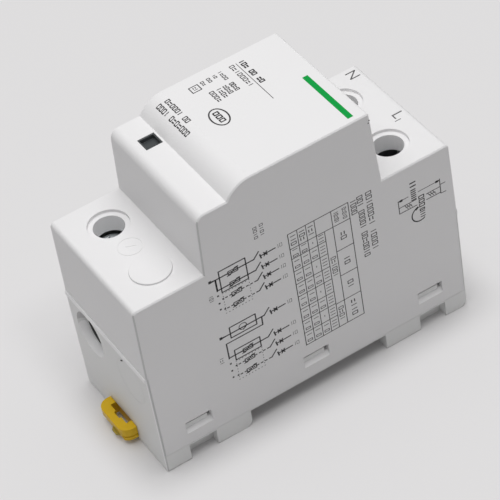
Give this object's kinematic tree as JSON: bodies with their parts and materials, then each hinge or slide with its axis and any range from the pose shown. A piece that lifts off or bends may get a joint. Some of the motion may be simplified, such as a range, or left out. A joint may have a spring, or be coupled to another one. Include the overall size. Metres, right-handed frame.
{
  "type": "surge protective device",
  "caption": "Two-module surge protective device for a 35 mm rail, with a white snap-together case, stepped nose, clamp terminals and a yellow rail clip.",
  "frame": {"origin": "on the front face of the rail, midway across the two modules and midway up the nose", "axes": "+Z points away from the rail, +Y up the mounted device towards the two supply terminals, +X to the right seen from the front with +Y up"},
  "size_m": [0.036, 0.0849, 0.0685],
  "materials": {
    "cover_plastic": "matte",
    "base_plastic": "matte",
    "clip_plastic": "satin",
    "lens_plastic": "gloss",
    "plated_steel": "satin",
    "tinned_copper": "satin",
    "varistor_coat": "satin",
    "tube_ceramic": "matte",
    "barrier_plastic": "matte",
    "flag_plastic": "satin",
    "spring_steel": "satin"
  },
  "bodies": {
    "case": {"front_cover": "cover_plastic", "rear_base": "base_plastic", "indicator_window": "lens_plastic", "terminal_bar_n": "tinned_copper", "terminal_bar_l1": "tinned_copper", "terminal_bar_pe": "tinned_copper", "varistor_block": "varistor_coat", "varistor_plate_outer": "tinned_copper", "varistor_plate_inner": "tinned_copper", "arm_post": "tinned_copper", "discharge_tube": "tube_ceramic", "tube_cap_n": "plated_steel", "tube_cap_pe": "plated_steel", "inner_barrier": "barrier_plastic", "indicator_spring": "spring_steel"},
    "clip": {"rail_clip": "clip_plastic"},
    "screw_n": {"terminal_screw_n": "plated_steel"},
    "cage_n": {"clamp_cage_n": "plated_steel"},
    "screw_l1": {"terminal_screw_l1": "plated_steel"},
    "cage_l1": {"clamp_cage_l1": "plated_steel"},
    "screw_pe": {"terminal_screw_pe": "plated_steel"},
    "cage_pe": {"clamp_cage_pe": "plated_steel"},
    "slider": {"indicator_slider": "flag_plastic"},
    "arm": {"disconnect_arm": "tinned_copper"}
  },
  "joints": [
    {"name": "clip_slide", "type": "slide", "parent": "case", "child": "clip", "axis": [0, -1, 0], "range_m": [0, 0.0045]},
    {"name": "screw_turn_n", "type": "hinge", "parent": "case", "child": "screw_n", "pos_m": [-0.009, 0.0302, 0.035], "axis": [0, 0, -1], "range_deg": [0, 2526]},
    {"name": "cage_lift_n", "type": "slide", "parent": "case", "child": "cage_n", "axis": [0, 0, 1], "range_m": [0, 0.0056]},
    {"name": "screw_turn_l1", "type": "hinge", "parent": "case", "child": "screw_l1", "pos_m": [0.009, 0.0302, 0.035], "axis": [0, 0, -1], "range_deg": [0, 2526]},
    {"name": "cage_lift_l1", "type": "slide", "parent": "case", "child": "cage_l1", "axis": [0, 0, 1], "range_m": [0, 0.0056]},
    {"name": "screw_turn_pe", "type": "hinge", "parent": "case", "child": "screw_pe", "pos_m": [-0.009, -0.0302, 0.035], "axis": [0, 0, -1], "range_deg": [0, 2526]},
    {"name": "cage_lift_pe", "type": "slide", "parent": "case", "child": "cage_pe", "axis": [0, 0, 1], "range_m": [0, 0.0056]},
    {"name": "slider_rise", "type": "slide", "parent": "case", "child": "slider", "axis": [0, 0, 1], "range_m": [0, 0.0095], "deforming": ["indicator_spring"]},
    {"name": "arm_swing", "type": "hinge", "parent": "case", "child": "arm", "pos_m": [0.00485, 0.0177, 0.0275], "axis": [0, 0, -1], "range_deg": [0, 8]}
  ],
  "couplings": [
    {"joint": "screw_turn_n", "follows": "cage_lift_n", "rad_per_m": 7854},
    {"joint": "screw_turn_l1", "follows": "cage_lift_l1", "rad_per_m": 7854},
    {"joint": "screw_turn_pe", "follows": "cage_lift_pe", "rad_per_m": 7854},
    {"joint": "arm_swing", "follows": "slider_rise", "rad_per_m": 14.514}
  ]
}
